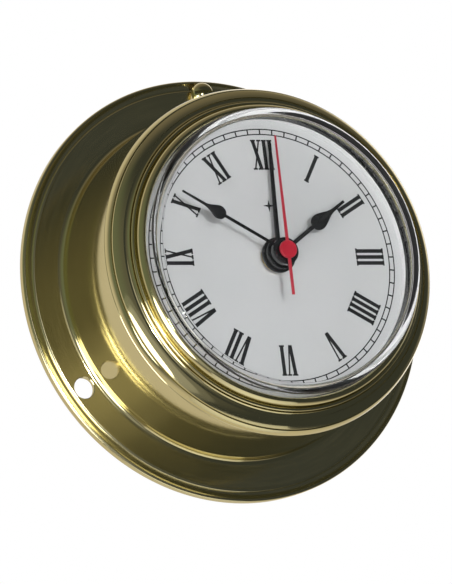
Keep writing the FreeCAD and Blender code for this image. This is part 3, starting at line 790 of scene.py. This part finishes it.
# ---- pieces kept from CAD ---------------------------------------------------------------
kept = {
    "dial_plate": dial_white,
    "retaining_ring": raw_brass,
    "centre_nut": raw_brass,
    "dial_washer": steel,
    "fixing_screw": polished,
    "movement_housing": black_plastic,
    "movement_cover": black_plastic,
    "alarm_switch": black_plastic,
    "middle_plate": pale_plastic,
    "intermediate_wheel": pale_plastic,
    "second_wheel": pale_plastic,
    "third_wheel": pale_plastic,
    "centre_wheel": pale_plastic,
    "motion_wheel": pale_plastic,
    "hour_wheel": pale_plastic,
    "alarm_wheel": pale_plastic,
    "alarm_pinion": pale_plastic,
    "time_knob": pale_plastic,
    "alarm_knob": pale_plastic,
    "rotor": magnet,
    "stator": steel,
    "coil_core": steel,
    "coil_winding": copper,
    "circuit_board": board_green,
    "board_parts": black_plastic,
    "buzzer_disc": raw_brass,
    "contact_positive": steel,
    "contact_negative": steel,
    "battery": steel,
}


def finish_kept_nodes():
    for name, material in kept.items():
        paint(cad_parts[name], material)


# ---- stage ---------------------------------------------------------------------------------
aim_above = 0.76         # the camera and the lamps aim this far in front of the dial
dial_centre = Vector((0, -(dial_front + aim_above) * MM, 0))
turn_deg = 27.78         # how far the camera stands to the left of the clock's axis
rise_deg = -13.95        # and below it
roll_deg = 7.29          # how far it is tilted about its own line of sight
distance = 1.403         # metres
image_w, image_h = 452, 584
focal_px = 4925.6
centre_offset = (0.1097, 0.0599)   # where the dial's centre falls, in image widths and heights


def towards(azimuth_deg, height_deg):
    """A direction in degrees round from the dial's front to the right, and up."""
    azimuth, height = math.radians(azimuth_deg), math.radians(height_deg)
    flat = math.cos(height)
    return Vector((math.sin(azimuth) * flat, -math.cos(azimuth) * flat, math.sin(height)))


def make_camera():
    outward = towards(-turn_deg, rise_deg)
    data = bpy.data.cameras.new("camera")
    camera = bpy.data.objects.new("camera", data)
    bpy.context.scene.collection.objects.link(camera)
    data.sensor_width = 36.0
    data.sensor_fit = "AUTO"
    data.lens = focal_px / image_h * data.sensor_width
    data.clip_start = 0.05
    upright = outward.to_track_quat("Z", "Y").to_matrix()
    rolled = upright @ Matrix.Rotation(math.radians(-roll_deg), 3, "Z")
    offset = Vector((centre_offset[0] * image_w, centre_offset[1] * image_h, -focal_px)).normalized()
    swing = Vector((0, 0, -1)).rotation_difference(offset).to_matrix()
    aimed = (rolled @ swing.transposed()).to_4x4()
    aimed.translation = dial_centre + outward * distance
    camera.matrix_world = aimed
    bpy.context.scene.camera = camera


def add_area(name, direction, reach, size, power, tall=None, shape="DISK"):
    """An area lamp that looks at the dial from a direction, reach metres away."""
    data = bpy.data.lights.new(name, "AREA")
    data.shape = shape
    data.size = size
    data.size_y = tall or size
    data.energy = power
    lamp = bpy.data.objects.new(name, data)
    bpy.context.scene.collection.objects.link(lamp)
    lamp.location = dial_centre + direction * reach
    lamp.rotation_euler = direction.to_track_quat("Z", "Y").to_euler()
    lamp.visible_transmission = False    # the crystal already lets the lamp's light through
    return lamp


def make_lights():
    """A small key for the hands' shadows, and soft boxes low on the left for the brass."""
    add_area("key", towards(-7, -4), 1.7, 0.07, 8.0)
    add_area("key_bounce", towards(-7, 0), 1.9, 0.9, 0.6)
    add_area("soft_box", towards(-68, -30), 0.9, 0.74, 4.2, tall=0.64, shape="ELLIPSE")
    add_area("soft_fill", towards(-46, -30), 1.1, 1.05, 0.4, tall=0.95, shape="ELLIPSE")
    add_area("soft_skirt", towards(-44, -30), 1.15, 1.5, 0.35, tall=1.25, shape="ELLIPSE")
    wash = add_area("floor_wash", towards(0, -90), 0.7, 1.6, 36.0, shape="RECTANGLE")
    wash.rotation_euler = (0, 0, 0)      # it shines down, away from the clock, to keep the floor pale


def facing(tree, where, direction, low, high):
    """How much of a direction is in view: 0 below the cosine low, 1 above high."""
    dot = add_node(tree, "ShaderNodeVectorMath", operation="DOT_PRODUCT")
    tree.links.new(where, dot.inputs[0])
    dot.inputs[1].default_value = direction
    node = add_node(tree, "ShaderNodeMapRange", interpolation_type="SMOOTHSTEP")
    node.inputs["From Min"].default_value = low
    node.inputs["From Max"].default_value = high
    tree.links.new(dot.outputs["Value"], node.inputs["Value"])
    return node.outputs["Result"]


def make_world():
    """Dark room in front, paler to the left and behind, white where it is seen directly."""
    world = bpy.data.worlds.new("studio")
    bpy.context.scene.world = world
    world.use_nodes = True
    tree = world.node_tree
    where = add_node(tree, "ShaderNodeTexCoord").outputs["Generated"]
    colour = (0.042, 0.047, 0.048)
    backdrop = (0.60, 0.555, 0.48)
    for tint, direction, low, high in (
        ((0.115, 0.115, 0.10), towards(-32, -8), 0.55, 0.97),
        ((0.15, 0.175, 0.13), towards(-88, 14), 0.4, 1.0),
        ((0.19, 0.17, 0.14), towards(180, 60), 0.3, 0.95),
        (backdrop, towards(180, 0), 0.1, 0.6),
        (backdrop, towards(180, -60), 0.55, 0.9),
        ((1.25, 1.2, 1.2), towards(137, 18), 0.88, 0.96),
    ):
        colour = colour_between(tree, facing(tree, where, direction, low, high), colour, tint)
    path = add_node(tree, "ShaderNodeLightPath")
    seen = colour_between(tree, path.outputs["Is Camera Ray"], colour, (1, 1, 1))
    tree.links.new(seen, tree.nodes["Background"].inputs["Color"])
    tree.nodes["Background"].inputs["Strength"].default_value = 1.0


def make_floor():
    half = 1.2           # metres
    low = -2.6
    mesh = bpy.data.meshes.new("floor")
    mesh.from_pydata([(-half, -half, low), (half, -half, low), (half, half, low), (-half, half, low)],
                     [], [(0, 1, 2, 3)])
    floor = add_object("floor", mesh)
    paint(floor, speckled("pale_floor", (0.78, 0.78, 0.77), (0.74, 0.74, 0.73), (0.6, 0.7), 30.0))


make_case()
make_bezel()
make_crystal()
make_rings()
make_numerals()
make_track()
make_star()
make_black_hands()
make_second_hand()
finish_kept_nodes()
make_camera()
make_lights()
make_world()
make_floor()
bpy.context.scene.view_settings.view_transform = "Standard"
